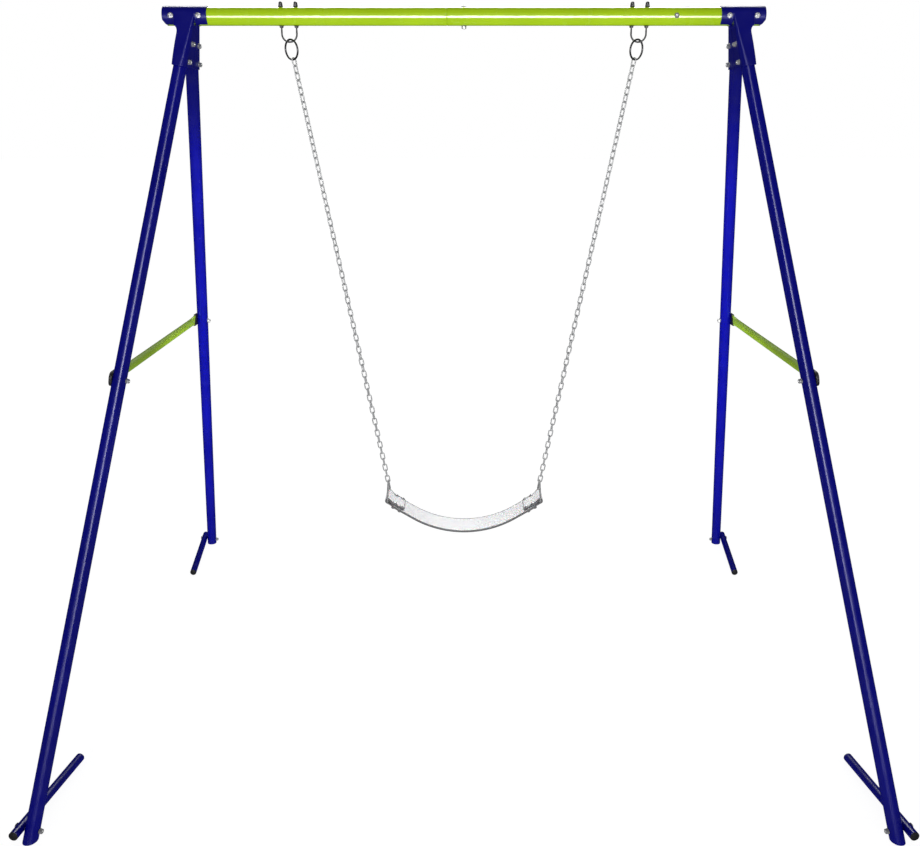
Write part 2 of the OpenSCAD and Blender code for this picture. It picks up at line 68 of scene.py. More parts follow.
SLOT_OF = {row["node"]: row["material_slot"] for row in frame["record"]["subparts"]}


# ---------- camera, floor and light ----------

CAMERA_AT = (0.0, -2.980, 1.799)
CAMERA_PITCH = 17.38
LENS_MM = 36.64
SENSOR_MM = 36.0
SHIFT_X = -0.0043

FLOOR_HALF = 60.0
FLOOR_TINT = (0.16, 0.16, 0.16, 1)
FLOOR_GLOW = 0.93
ROOM_LIGHT = (0.30, 0.30, 0.31, 1)
ROOM_REFLECTION = (0.02, 0.02, 0.022, 1)
WHITE = (1.0, 1.0, 1.0, 1)
FILL_WIDTH = 0.3
FILL_SPREAD = 70


def link(obj):
    bpy.context.scene.collection.objects.link(obj)
    return obj


def make_camera():
    """The photograph's camera, solved from the legs' lines and the tubes' widths."""
    data = bpy.data.cameras.new("camera")
    data.lens = LENS_MM
    data.sensor_width = SENSOR_MM
    data.shift_x = SHIFT_X
    camera = link(bpy.data.objects.new("camera", data))
    camera.location = CAMERA_AT
    camera.rotation_euler = (math.radians(90 - CAMERA_PITCH), 0, 0)
    bpy.context.scene.camera = camera


def make_floor():
    """A plain pale floor that keeps soft contact shadows and throws light back up."""
    mesh = bpy.data.meshes.new("floor")
    corners = [(-1, -1), (1, -1), (1, 1), (-1, 1)]
    mesh.from_pydata([(x * FLOOR_HALF, y * FLOOR_HALF, 0) for x, y in corners], [], [(0, 1, 2, 3)])
    floor = link(bpy.data.objects.new("floor", mesh))
    material = bpy.data.materials.new("floor_paint")
    material.use_nodes = True
    shader = material.node_tree.nodes["Principled BSDF"]
    shader.inputs["Base Color"].default_value = FLOOR_TINT
    shader.inputs["Roughness"].default_value = 0.9
    shader.inputs["Specular IOR Level"].default_value = 0.0
    shader.inputs["Emission Color"].default_value = WHITE
    shader.inputs["Emission Strength"].default_value = FLOOR_GLOW
    mesh.materials.append(material)
    floor.visible_glossy = False


def make_world():
    """White where the camera sees it; a soft grey room to everything else, darker where it is mirrored."""
    world = bpy.data.worlds.new("studio")
    world.use_nodes = True
    bpy.context.scene.world = world
    nodes, links = world.node_tree.nodes, world.node_tree.links
    ray = nodes.new("ShaderNodeLightPath")
    shade = nodes["Background"]
    shade.inputs["Color"].default_value = ROOM_LIGHT
    for seen_by, colour in (("Is Glossy Ray", ROOM_REFLECTION), ("Is Camera Ray", WHITE)):
        other = nodes.new("ShaderNodeBackground")
        other.inputs["Color"].default_value = colour
        mix = nodes.new("ShaderNodeMixShader")
        links.new(ray.outputs[seen_by], mix.inputs[0])
        links.new(shade.outputs[0], mix.inputs[1])
        links.new(other.outputs[0], mix.inputs[2])
        shade = mix
    links.new(shade.outputs[0], nodes["World Output"].inputs["Surface"])


def make_sun(name, towards, strength, spread):
    """Broad even light on the matt side of every finish."""
    data = bpy.data.lights.new(name, "SUN")
    data.energy = strength
    data.angle = math.radians(spread)
    sun = link(bpy.data.objects.new(name, data))
    sun.rotation_euler = Vector(towards).to_track_quat("-Z", "Y").to_euler()
    sun.visible_glossy = False


def make_strip(name, start, end, width, towards, power, spread):
    """A long softbox from start to end, which only shows as a highlight on glossy surfaces."""
    start, end = Vector(start), Vector(end)
    along = (end - start).normalized()
    back = -Vector(towards)
    back = (back - along * back.dot(along)).normalized()
    data = bpy.data.lights.new(name, "AREA")
    data.shape = "RECTANGLE"
    data.size, data.size_y = width, (end - start).length
    data.energy = power
    data.spread = math.radians(spread)
    strip = link(bpy.data.objects.new(name, data))
    turn = Matrix([along.cross(back), along, back]).transposed()
    strip.matrix_world = Matrix.Translation((start + end) / 2) @ turn.to_4x4()
    strip.visible_diffuse = False
    strip.visible_camera = False


def make_fill(name, at, towards, length, power):
    """A narrow lamp that only brightens the matt side of what is close in front of it."""
    data = bpy.data.lights.new(name, "AREA")
    data.shape = "RECTANGLE"
    data.size, data.size_y = FILL_WIDTH, length
    data.energy = power
    data.spread = math.radians(FILL_SPREAD)
    fill = link(bpy.data.objects.new(name, data))
    fill.location = at
    fill.rotation_euler = Vector(towards).to_track_quat("-Z", "Z").to_euler()
    fill.visible_glossy = False
    fill.visible_camera = False


def make_studio():
    """Suns for the matt side of the finishes, softboxes for their highlights, and small fills."""
    make_floor()
    make_world()
    make_sun("front_sun", towards=(0.0, 1.0, -0.06), strength=1.55, spread=50)
    make_sun("back_sun", towards=(-0.1, -1.0, -0.35), strength=1.3, spread=60)
    make_strip(
        "front_strip", (-2.2, -4.2, 1.38), (2.2, -4.2, 1.38),
        width=1.6, towards=(0, 1, 0.18), power=24, spread=44,
    )
    make_strip(
        "back_strip", (-2.2, 3.2, 5.0), (2.2, 3.2, 5.0),
        width=1.0, towards=(0, -0.7, -0.7), power=45, spread=80,
    )
    for side, end in (("left", -1), ("right", 1)):
        make_strip(
            f"front_column_{side}", (0, -5.0, 0.3), (0, -2.6, 4.8),
            width=1.6, towards=(0.50 * end, 0.87, -0.47), power=23, spread=42,
        )
        make_fill(
            f"rear_leg_fill_{side}", (0.74 * end, -0.25, 0.9), towards=(0.1 * end, 1, 0), length=1.6, power=6,
        )
    make_fill("seat_fill", (0, -0.15, 1.5), towards=(0, 0.15, -1), length=0.5, power=0.9)


# ---------- materials ----------


# Under this name, the belt's mesh says where painted grey shade goes: on its side faces and at its flaps'
# thinned ends.
PAINTED_EDGE_SHADE = "painted_edge_shade"


class Finish:
    """A Principled material whose detail is laid out in the piece's own metres."""

    def __init__(self, name, **constants):
        self.material = bpy.data.materials.new(name)
        self.material.use_nodes = True
        self.nodes = self.material.node_tree.nodes
        self.links = self.material.node_tree.links
        self.shader = self.nodes["Principled BSDF"]
        self.place = self.nodes.new("ShaderNodeTexCoord").outputs["Object"]
        for socket, value in constants.items():
            self.shader.inputs[socket.replace("_", " ")].default_value = value

    def noise(self, scale, detail=3.0, stretch=None):
        node = self.nodes.new("ShaderNodeTexNoise")
        node.inputs["Scale"].default_value = scale
        node.inputs["Detail"].default_value = detail
        self.links.new(self.stretched(stretch), node.inputs["Vector"])
        return node.outputs["Fac"]

    def stretched(self, stretch):
        if stretch is None:
            return self.place
        node = self.nodes.new("ShaderNodeMapping")
        node.inputs["Scale"].default_value = stretch
        self.links.new(self.place, node.inputs["Vector"])
        return node.outputs["Vector"]

    def cells(self, scale):
        node = self.nodes.new("ShaderNodeTexVoronoi")
        node.inputs["Scale"].default_value = scale
        self.links.new(self.place, node.inputs["Vector"])
        return node.outputs["Color"]

    def marked(self, attribute):
        """A number that the mesh itself carries at each of its points."""
        node = self.nodes.new("ShaderNodeAttribute")
        node.attribute_name = attribute
        return node.outputs["Fac"]

    def curve(self, value, stops):
        """value turned into a colour or grey by a ramp of (position, grey or colour) stops."""
        node = self.nodes.new("ShaderNodeValToRGB")
        ramp = node.color_ramp
        while len(ramp.elements) < len(stops):
            ramp.elements.new(0.5)
        for element, (position, shade) in zip(ramp.elements, stops):
            element.position = position
            element.color = (*shade, 1) if isinstance(shade, tuple) else (shade, shade, shade, 1)
        self.links.new(value, node.inputs["Fac"])
        return node.outputs["Color"]

    def mixed(self, factor, low, high):
        """low and high blended by factor; each may be a socket or a constant."""
        node = self.nodes.new("ShaderNodeMix")
        node.data_type = "RGBA"
        for socket, value in ((node.inputs[0], factor), (node.inputs[6], low), (node.inputs[7], high)):
            if isinstance(value, bpy.types.NodeSocket):
                self.links.new(value, socket)
            else:
                socket.default_value = (*value, 1) if isinstance(value, tuple) else value
        return node.outputs[2]

    def colour(self, output):
        self.links.new(output, self.shader.inputs["Base Color"])

    def roughness(self, output):
        self.links.new(output, self.shader.inputs["Roughness"])

    def bumps(self, *layers):
        """Bump layers of (height, depth in metres), one on top of the other."""
        below = None
        for height, depth in layers:
            node = self.nodes.new("ShaderNodeBump")
            node.inputs["Distance"].default_value = depth
            self.links.new(height, node.inputs["Height"])
            if below is not None:
                self.links.new(below, node.inputs["Normal"])
            below = node.outputs["Normal"]
        self.links.new(below, self.shader.inputs["Normal"])


def enamel(name, deep, body, worn, rough, shine, **constants):
    """Sprayed enamel on steel: slight orange peel, cloudy depth, fine dust and a few rubbed spots."""
    finish = Finish(name, Specular_IOR_Level=shine, **constants)
    cloud = finish.noise(5.0, 5)
    dust = finish.noise(420.0, 2)
    rubs = finish.noise(38.0, 6, stretch=(1, 1, 0.35))
    base = finish.mixed(finish.curve(cloud, [(0.35, 0.0), (0.65, 1.0)]), deep, body)
    dusty = finish.mixed(finish.curve(dust, [(0.66, 0.0), (0.80, 0.25)]), base, worn)
    finish.colour(finish.mixed(finish.curve(rubs, [(0.67, 0.0), (0.78, 0.35)]), dusty, worn))
    finish.roughness(finish.curve(finish.noise(24.0, 4), [(0.3, rough[0]), (0.7, rough[1])]))
    finish.bumps((finish.noise(220.0, 2), 0.000035), (finish.noise(1400.0, 2), 0.00001))
    return finish.material


def moulded(name, dark, light):
    """Moulded black plastic with a fine spark-eroded grain."""
    finish = Finish(name, Specular_IOR_Level=0.4)
    cloud = finish.noise(60.0, 4)
    finish.colour(finish.mixed(finish.curve(cloud, [(0.35, 0.0), (0.7, 1.0)]), dark, light))
    finish.roughness(finish.curve(finish.noise(90.0, 3), [(0.3, 0.42), (0.7, 0.6)]))
    finish.bumps((finish.noise(1800.0, 2), 0.00006))
    return finish.material


def plated(name, dull, bright, rough, metal):
    """Plated steel: crystals of slightly different greys, cloudy polish and hairline scratches."""
    finish = Finish(name, Metallic=metal)
    crystals = finish.curve(finish.cells(900.0), [(0.2, 0.0), (0.8, 1.0)])
    cloud = finish.curve(finish.noise(45.0, 5), [(0.5, 0.0), (0.75, 0.6)])
    finish.colour(finish.mixed(cloud, finish.mixed(crystals, dull, bright), dull))
    finish.roughness(finish.curve(finish.noise(120.0, 4), [(0.3, rough[0]), (0.7, rough[1])]))
    scratches = finish.noise(700.0, 4, stretch=(0.12, 1, 1))
    finish.bumps((finish.noise(600.0, 3), 0.00003), (scratches, 0.00002))
    return finish.material


def belt_plastic():
    """White flexible belt: soft sheen, fine leathery grain, faint scuffs, and grey painted shade on its side
    faces and at its flaps' ends.
    """
    finish = Finish(
        "belt_plastic", Specular_IOR_Level=0.35, Subsurface_Weight=0.08, Subsurface_Scale=0.004,
        Sheen_Weight=0.06,
    )
    cloud = finish.curve(finish.noise(9.0, 5), [(0.35, 0.0), (0.7, 1.0)])
    clean = finish.mixed(cloud, (0.86, 0.865, 0.87), (0.93, 0.93, 0.925))
    scuffs = finish.noise(55.0, 6, stretch=(0.25, 1, 1))
    worn = finish.mixed(finish.curve(scuffs, [(0.62, 0.0), (0.76, 0.3)]), clean, (0.66, 0.66, 0.65))
    # Painted shade: grey on the belt's side faces and at its flaps' thinned ends, where the mesh marks it.
    cut = finish.curve(finish.marked(PAINTED_EDGE_SHADE), [(0.3, 0.0), (0.7, 1.0)])
    finish.colour(finish.mixed(cut, worn, (0.15, 0.15, 0.155)))
    finish.roughness(finish.curve(finish.noise(30.0, 4), [(0.3, 0.40), (0.7, 0.58)]))
    finish.bumps((finish.noise(750.0, 4), 0.0001), (finish.noise(170.0, 2), 0.0001))
    return finish.material


def make_materials():
    """The finish for each of the record's material slots."""
    return {
        "leg_paint": enamel(
            "leg_paint", (0.0005, 0.0009, 0.165), (0.0009, 0.0014, 0.205), worn=(0.008, 0.010, 0.22),
            rough=(0.19, 0.28), shine=0.45,
        ),
        "bracket_paint": enamel(
            "bracket_paint", (0.0005, 0.0008, 0.140), (0.0008, 0.0012, 0.165), worn=(0.008, 0.010, 0.17),
            rough=(0.28, 0.36), shine=0.25,
        ),
        "crossbar_paint": enamel(
            "crossbar_paint", (0.400, 0.630, 0.004), (0.450, 0.700, 0.007), worn=(0.50, 0.70, 0.09),
            rough=(0.2, 0.3), shine=0.3, Coat_Weight=1.0, Coat_Roughness=0.12, Coat_IOR=1.75,
        ),
        "brace_paint": enamel(
            "brace_paint", (0.270, 0.445, 0.018), (0.330, 0.530, 0.028), worn=(0.42, 0.58, 0.10),
            rough=(0.34, 0.46), shine=0.3,
        ),
        "black_plastic": moulded("black_plastic", (0.008, 0.008, 0.009), (0.016, 0.016, 0.018)),
        "fastener_zinc": plated("fastener_zinc", (0.42, 0.425, 0.43), (0.60, 0.605, 0.61), (0.2, 0.36), 0.6),
        # Painted dark reflection: the plated U-bolts and rings get a near-black base for the dark room they
        # mirror.
        "dark_steel": plated("dark_steel", (0.05, 0.05, 0.054), (0.11, 0.11, 0.115), (0.24, 0.4), 0.8),
        "chain_zinc": plated("chain_zinc", (0.44, 0.445, 0.45), (0.56, 0.565, 0.57), (0.36, 0.5), 0.3),
        "hanger_zinc": plated("hanger_zinc", (0.36, 0.364, 0.37), (0.50, 0.505, 0.51), (0.3, 0.44), 0.4),
        "belt_plastic": belt_plastic(),
    }


# ---------- the CAD solids ----------

# A CAD solid: its middle, its axes as columns from longest to shortest, its size along them, and the
# corners of its triangles as seen from its middle along its axes.
Solid = namedtuple("Solid", "middle axes size points")


def welded(node):
    """A CAD node's points, joined where its faces meet, and its triangles."""
    mesh = frame["nodes"][node].data
    mesh.calc_loop_triangles()
    places = np.empty(len(mesh.vertices) * 3)
    mesh.vertices.foreach_get("co", places)
    corners = np.empty(len(mesh.loop_triangles) * 3, int)
    mesh.loop_triangles.foreach_get("vertices", corners)
    points, index = np.unique(np.round(places.reshape(-1, 3), 6), axis=0, return_inverse=True)
    return points, index.reshape(-1)[corners].reshape(-1, 3)


def island_labels(count, triangles):
    """For each point, the lowest point that is joined to it."""
    label = np.arange(count)
    while True:
        lowest = label[triangles].min(axis=1)
        joined = label.copy()
        np.minimum.at(joined, triangles.ravel(), np.repeat(lowest, 3))
        joined = joined[joined]
        if (joined == label).all():
            return label
        label = joined


def principal_axes(corners, along):
    """A solid's middle and axes by the spread of its surface; with along given, that is the first axis."""
    area = np.linalg.norm(np.cross(corners[:, 1] - corners[:, 0], corners[:, 2] - corners[:, 0]), axis=1)
    middle = corners.mean(axis=1)
    centre = (area[:, None] * middle).sum(axis=0) / area.sum()
    if along is None:
        spread = middle - centre
        axes = np.linalg.eigh((area[:, None] * spread).T @ spread)[1][:, ::-1]
    else:
        first = np.asarray(along) / np.linalg.norm(along)
        aside = np.cross(first, Z if abs(first[2]) < 0.9 else X)
        aside /= np.linalg.norm(aside)
        axes = np.stack([first, aside, np.cross(first, aside)], axis=1)
    if np.linalg.det(axes) < 0:
        axes[:, 2] *= -1
    return centre, axes


def solids(node, along=None):
    """The separate solids of a CAD node."""
    points, triangles = welded(node)
    label = island_labels(len(points), triangles)[triangles[:, 0]]
    found = []
    for island in np.unique(label):
        corners = points[triangles[label == island]]
        centre, axes = principal_axes(corners, along)
        local = (corners.reshape(-1, 3) - centre) @ axes
        low, high = local.min(axis=0), local.max(axis=0)
        centre = centre + axes @ ((low + high) / 2)
        found.append(Solid(centre, axes, high - low, local - (low + high) / 2))
    return found


def stand(solid, axis, outward=None, aside=None):
    """Where a shape drawn along +Z goes: Z on the solid's axis, turned to face outward if that is given."""
    up = solid.axes[:, axis].copy()
    if outward is not None and up @ outward < 0:
        up = -up
    aside = solid.axes[:, (axis + 1) % 3] if aside is None else aside
    aside = aside - (aside @ up) * up
    aside /= np.linalg.norm(aside)
    matrix = np.eye(4)
    matrix[:3, :3] = np.stack([aside, np.cross(up, aside), up], axis=1)
    matrix[:3, 3] = solid.middle
    return matrix


def radii(solid, axis):
    """The points' distances from a solid's axis, and their places along it."""
    others = [i for i in range(3) if i != axis]
    return np.linalg.norm(solid.points[:, others], axis=1), solid.points[:, axis]


# ---------- shapes ----------
# A shape is a pair: points as an (n, 3) array, and faces as lists of point numbers.

RIM = 0.0005
TUBE_WALL = 0.0018
THREAD_PITCH = 0.00125
THREAD_DEPTH = 0.0004
# The straight edge below the dome of a bolt's or plug's head
DOME_LIP = 0.0006
# A nut's outline: points round it, its flat face's share of its width, and the slope of its chamfer
NUT_SIDES = 72
NUT_FACE = 0.95
NUT_CHAMFER = math.tan(math.radians(30))


def turns(count):
    return np.arange(count) * 2 * math.pi / count


def ring(radius, height, sides=32):
    """A circle about Z; radius and height may also be given for each of its points."""
    angle = turns(sides)
    flat = np.stack([np.cos(angle), np.sin(angle)], axis=1) * np.broadcast_to(radius, sides)[:, None]
    return np.column_stack([flat, np.broadcast_to(height, sides)])


def loft(rings, closed=False):
    """Rings of equally many points, joined in turn; closed joins the last to the first."""
    count, sides = len(rings), len(rings[0])
    faces = []
    for i in range(count if closed else count - 1):
        a, b = i * sides, (i + 1) % count * sides
        faces += [[a + j, a + (j + 1) % sides, b + (j + 1) % sides, b + j] for j in range(sides)]
    if not closed:
        faces += [list(range(sides))[::-1], list(range((count - 1) * sides, count * sides))]
    return np.vstack(rings), faces


def lathe(profile, sides=32, closed=False):
    """A profile of (radius, height) points turned about Z."""
    return loft([ring(r, h, sides) for r, h in profile], closed)


def placed(shape, matrix):
    """A shape moved by a 4 by 4 matrix."""
    points, faces = shape
    return points @ matrix[:3, :3].T + matrix[:3, 3], faces


def sweep(path, normal, radius, sides=16, closed=False):
    """A round wire along a path that lies in the plane of the given normal."""
    path, normal = np.asarray(path, float), np.asarray(normal, float)
    ahead = np.roll(path, -1, axis=0) - np.roll(path, 1, axis=0)
    if not closed:
        ahead[0], ahead[-1] = path[1] - path[0], path[-1] - path[-2]
    across = np.cross(normal, ahead)
    across /= np.linalg.norm(across, axis=1)[:, None]
    angle = turns(sides)
    section = np.outer(np.cos(angle), X) + np.outer(np.sin(angle), Y)
    thickness = np.broadcast_to(radius, len(path))
    return loft(
        [p + r * (section[:, :1] * a + section[:, 1:2] * normal) for p, a, r in zip(path, across, thickness)],
        closed,
    )


def arc(centre, radius, start, end, steps):
    """Points (a, b) of an arc in a plane, from start to end in degrees."""
    angle = np.radians(np.linspace(start, end, steps))
    return np.asarray(centre) + radius * np.stack([np.cos(angle), np.sin(angle)], axis=1)


def spaced(start, end, count):
    """count points between two others, neither of them included."""
    share = np.linspace(0, 1, count + 2)[1:-1, None]
    return start * (1 - share) + end * share


def thread(radius, low, high):
    """Profile points of a screw thread, from low to high."""
    count = max(int((high - low) / THREAD_PITCH), 1)
    step = (high - low) / count
    points = []
    for i in range(count):
        points += [(radius - THREAD_DEPTH, low + i * step), (radius, low + (i + 0.5) * step)]
    return points + [(radius - THREAD_DEPTH, high)]


def dome_profile(radius, height, base, steps=8):
    """Profile points of a shallow dome from its rim up to near its top."""
    ball = (radius**2 + height**2) / (2 * height)
    rim = math.asin(min(radius / ball, 1)) if height < radius else math.pi - math.asin(radius / ball)
    angles = np.linspace(rim, rim * 0.03, steps)
    return [(ball * math.sin(a), base + height - ball * (1 - math.cos(a))) for a in angles]


def bolt(shank, length, head, head_height, threaded):
    """A domed bolt: its head stands on z = 0, and its shank hangs below."""
    tip = [(shank * 0.3, -length), (shank * 0.78, -length), (shank - THREAD_DEPTH, -length + 0.0012)]
    plain = [(shank, -length + threaded + 0.0006), (shank, -0.0003), (shank + 0.0003, 0)]
    under_dome = [(head - 0.0004, 0), (head, 0.0003), (head, DOME_LIP)]
    cut = thread(shank, -length + 0.0014, -length + threaded)
    dome = dome_profile(head, head_height - DOME_LIP, DOME_LIP)[1:]
    return lathe(tip + cut + plain + under_dome + dome, 40)


def hexagon(width):
    """A nut's outline as radii, its flat face's radius, and how far its chamfer drops at each point."""
    outline = width / 2 / np.cos(turns(NUT_SIDES) % (math.pi / 3) - math.pi / 6)
    face = width / 2 * NUT_FACE
    return outline, face, (outline - face) * NUT_CHAMFER


def nut(width, height, bore):
    """A hexagon nut with chamfered corners, standing on z = 0 with one corner on +X."""
    outline, face, drop = hexagon(width)
    profile = [
        (bore, 0.0004), (bore + 0.0005, 0), (face, 0), (outline, drop),
        (outline, height - drop), (face, height), (bore + 0.0005, height), (bore, height - 0.0004),
    ]
    return lathe(profile, NUT_SIDES, closed=True)


def washer(radius, height, bore):
    """A flat ring with softened edges, standing on z = 0."""
    soft = height * 0.25
    return lathe(
        [
            (bore, soft), (bore + soft, 0), (radius - soft, 0), (radius, soft),
            (radius, height - soft), (radius - soft, height), (bore + soft, height), (bore, height - soft),
        ],
        40, closed=True,
    )


def tube(radius, low, high, sides=64, rim=RIM):
    """An open tube with its rims rounded off."""
    inner = radius - TUBE_WALL
    return lathe(
        [
            (inner, low + rim), (inner + rim, low), (radius - rim, low), (radius, low + rim),
            (radius, high - rim), (radius - rim, high), (inner + rim, high), (inner, high - rim),
        ],
        sides, closed=True,
    )


# ---------- pieces ----------


def new_mesh(name, shapes):
    """One mesh from several closed shapes, with its faces turned outward."""
    mesh = bpy.data.meshes.new(name)
    points, faces, base = [], [], 0
    for shape_points, shape_faces in shapes:
        points.append(shape_points)
        faces += [[base + i for i in face] for face in shape_faces]
        base += len(shape_points)
    mesh.from_pydata(np.vstack(points).tolist(), [], faces)
    edit = bmesh.new()
    edit.from_mesh(mesh)
    bmesh.ops.recalc_face_normals(edit, faces=edit.faces)
    edit.to_mesh(mesh)
    edit.free()
    return mesh


def finished(name, mesh, node, edge_angle=32):
    """Puts a piece in the scene in place of a CAD node, on the same body and with the same finish."""
    mesh.polygons.foreach_set("use_smooth", [True] * len(mesh.polygons))
    mesh.set_sharp_from_angle(angle=math.radians(edge_angle))
    mesh.materials.clear()
    mesh.materials.append(MATERIALS[SLOT_OF[node]])
    piece = link(bpy.data.objects.new(name, mesh))
    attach(piece, frame["nodes"][node]["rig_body"])
    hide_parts(node)
    return piece


def detailed(node, shapes, edge_angle=32):
    """Builds a piece from its shapes and puts it in place of its CAD node."""
    name = f"{node}_detailed"
    return finished(name, new_mesh(name, shapes), node, edge_angle)


# ---------- tubes ----------


SEAM_GAP = 0.0008
SPIGOT_SLIP = 0.0002
BAR_SIDES = 96
BAR_RIM = 0.0008

PLUG_BODY = 0.0105
PLUG_LENGTH = 0.014
PLUG_HEAD = 0.0125
PLUG_HEAD_HEIGHT = 0.003
RIBS_FROM = -0.013
RIB_PITCH = 0.0021
RIB_DEPTH = 0.0008


def make_crossbar():
    """Two tubes: the left one is drawn down to a spigot that slides into the right one."""
    low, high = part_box("crossbar_left")
    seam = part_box("crossbar_right")[0].x
    radius = (high.z - low.z) / 2
    along = np.eye(4)
    along[:3, :3] = np.stack([Y, Z, X], axis=1)
    along[:3, 3] = (0, 0, (low.z + high.z) / 2)
    inner, end = radius - TUBE_WALL, seam - SEAM_GAP
    spigot = inner - SPIGOT_SLIP
    open_end = [(inner, low.x + RIM), (inner + RIM, low.x), (radius - RIM, low.x), (radius, low.x + RIM)]
    # The first ring here keeps the shoulder's rounding out of the shading of the long faces.
    shoulder = [
        (radius, end - 0.0040), (radius, end - 0.0012),
        (radius - 0.0004, end - 0.0003), (radius - 0.0010, end),
    ]
    drawn_down = [
        (spigot, end), (spigot, high.x), (spigot - TUBE_WALL, high.x), (spigot - TUBE_WALL, end - 0.008),
        (inner, end - 0.012),
    ]
    left = lathe(open_end + shoulder + drawn_down, BAR_SIDES, closed=True)
    detailed("crossbar_left", [placed(left, along)])
    right = tube(radius, seam, -low.x, BAR_SIDES, BAR_RIM)
    detailed("crossbar_right", [placed(right, along)])


def make_leg(node):
    """A leg, cut level with the ground at its foot."""
    solid = solids(node)[0]
    half = solid.size[0] / 2
    matrix = stand(solid, 0, outward=Z)
    points, faces = placed(tube(radii(solid, 0)[0].max(), -half, half), matrix)
    low_end = points[:, 2] < solid.middle[2]
    axis = matrix[:3, 2]
    points[low_end] -= np.outer(points[low_end, 2] / axis[2], axis)
    detailed(node, [(points, faces)])


def make_foot(node):
    """A ground foot: a short tube, open at both ends for its plugs."""
    solid = solids(node)[0]
    half = solid.size[0] / 2
    detailed(node, [placed(tube(radii(solid, 0)[0].max(), -half, half), stand(solid, 0))])


def make_foot_plugs():
    """Ribbed push-in plugs with domed heads, one in each end of each foot."""
    feet = [solids(f"foot_{end}_{side}")[0] for side in ("left", "right") for end in ("front", "rear")]
    shapes = []
    for plug in solids("foot_end_plugs"):
        foot = min(feet, key=lambda f: np.linalg.norm(f.middle - plug.middle))
        shapes.append(foot_plug(foot, plug))
    detailed("foot_end_plugs", shapes)


def foot_plug(foot, plug):
    """One plug, with its head against the end of the foot that it is in."""
    axis = foot.axes[:, 0] if (plug.middle - foot.middle) @ foot.axes[:, 0] > 0 else -foot.axes[:, 0]
    end = foot.middle + axis * foot.size[0] / 2
    matrix = stand(Solid(end, foot.axes, foot.size, foot.points), 0, outward=axis)
    tip = [(0.002, -PLUG_LENGTH), (PLUG_BODY - 0.001, -PLUG_LENGTH)]
    ribs = [(PLUG_BODY - RIB_DEPTH * (i % 2), RIBS_FROM + RIB_PITCH * i) for i in range(6)]
    under_dome = [(PLUG_BODY, 0), (PLUG_HEAD, 0), (PLUG_HEAD, DOME_LIP)]
    dome = dome_profile(PLUG_HEAD, PLUG_HEAD_HEIGHT - DOME_LIP, DOME_LIP)[1:]
    return placed(lathe(tip + ribs + under_dome + dome, 40), matrix)


# ---------- fasteners ----------


ACORN_HEX_HEIGHT = 0.006
ACORN_DOME_HEIGHT = 0.008
# A solid at least this many times as wide as it is high is a loose washer, not a nut.
WASHER_RATIO = 3.5


def headed_bolts(node, threaded=0.016):
    """A detailed bolt on each bolt of a CAD node."""
    shapes = []
    for solid in solids(node):
        distance, place = radii(solid, 0)
        half = solid.size[0] / 2
        top, bottom = distance[place > half * 0.8].max(), distance[place < -half * 0.8].max()
        outward = solid.axes[:, 0] if top > bottom else -solid.axes[:, 0]
        head, shank = distance.max(), min(top, bottom)
        head_height = half - abs(place[distance > head * 0.98]).min()
        matrix = stand(solid, 0, outward)
        matrix[:3, 3] += outward * (half - head_height)
        shapes.append(placed(bolt(shank, 2 * half - head_height, head, head_height, threaded), matrix))
    detailed(node, shapes)


def nuts_and_washers(node):
    """A detailed nut, washer, or nut on its washer, in place of each one of a CAD node."""
    shapes = []
    for solid in solids(node):
        distance, place = radii(solid, 2)
        width, height, bore = distance.max(), solid.size[2], distance.min()
        half = height / 2
        top, bottom = distance[place > half * 0.95].max(), distance[place < -half * 0.95].max()
        turn = 1 if bottom >= top else -1
        outward = solid.axes[:, 2] * turn
        if width > WASHER_RATIO * height:
            shapes.append(placed(washer(width, height, bore), raised(solid, outward, -half)))
            continue
        seat = 0.0
        if abs(top - bottom) > 0.0005:
            seat = half - np.abs(place[distance > width * 0.97]).min()
            shapes.append(placed(washer(width, seat, bore), raised(solid, outward, -half)))
        on_top = place * turn > half * 0.95
        corner = solid.axes @ solid.points[on_top][distance[on_top].argmax()]
        shape = nut(distance[on_top].max() * math.sqrt(3), height - seat, bore)
        shapes.append(placed(shape, raised(solid, outward, seat - half, corner)))
    detailed(node, shapes)


def raised(solid, outward, height, aside=None):
    """Where a shape goes that stands on a plane across a solid's shortest axis."""
    matrix = stand(solid, 2, outward, aside)
    matrix[:3, 3] += matrix[:3, 2] * height
    return matrix


def make_acorn_nuts():
    """Domed nuts on the U-bolts' ends, on top of the crossbar."""
    shapes = []
    for solid in solids("u_bolt_acorn_nuts", along=Z):
        outline, face, drop = hexagon(radii(solid, 0)[0].max() * math.sqrt(3))
        profile = [
            (face * 0.5, 0), (face, 0), (outline, drop),
            (outline, ACORN_HEX_HEIGHT - drop), (face, ACORN_HEX_HEIGHT),
        ]
        dome = dome_profile(face * 0.94, ACORN_DOME_HEIGHT, ACORN_HEX_HEIGHT, 10)
        matrix = np.eye(4)
        matrix[:3, 3] = solid.middle - Z * solid.size[0] / 2
        shapes.append(placed(lathe(profile + dome, NUT_SIDES), matrix))
    detailed("u_bolt_acorn_nuts", shapes)


# ---------- wire parts ----------

# How far the U-bolt's thread goes on below the crossbar
THREAD_BELOW_BAR = 0.012
# The bead where a link's ends are welded together: its length, and how much thicker it is
WELD_LENGTH = 0.0011
WELD_SWELL = 0.10
# How far the hanger's eye stands off its own wire, and the radius of its lower corners
EYE_PAST_WIRE = 0.0029
HANGER_BEND = 0.008


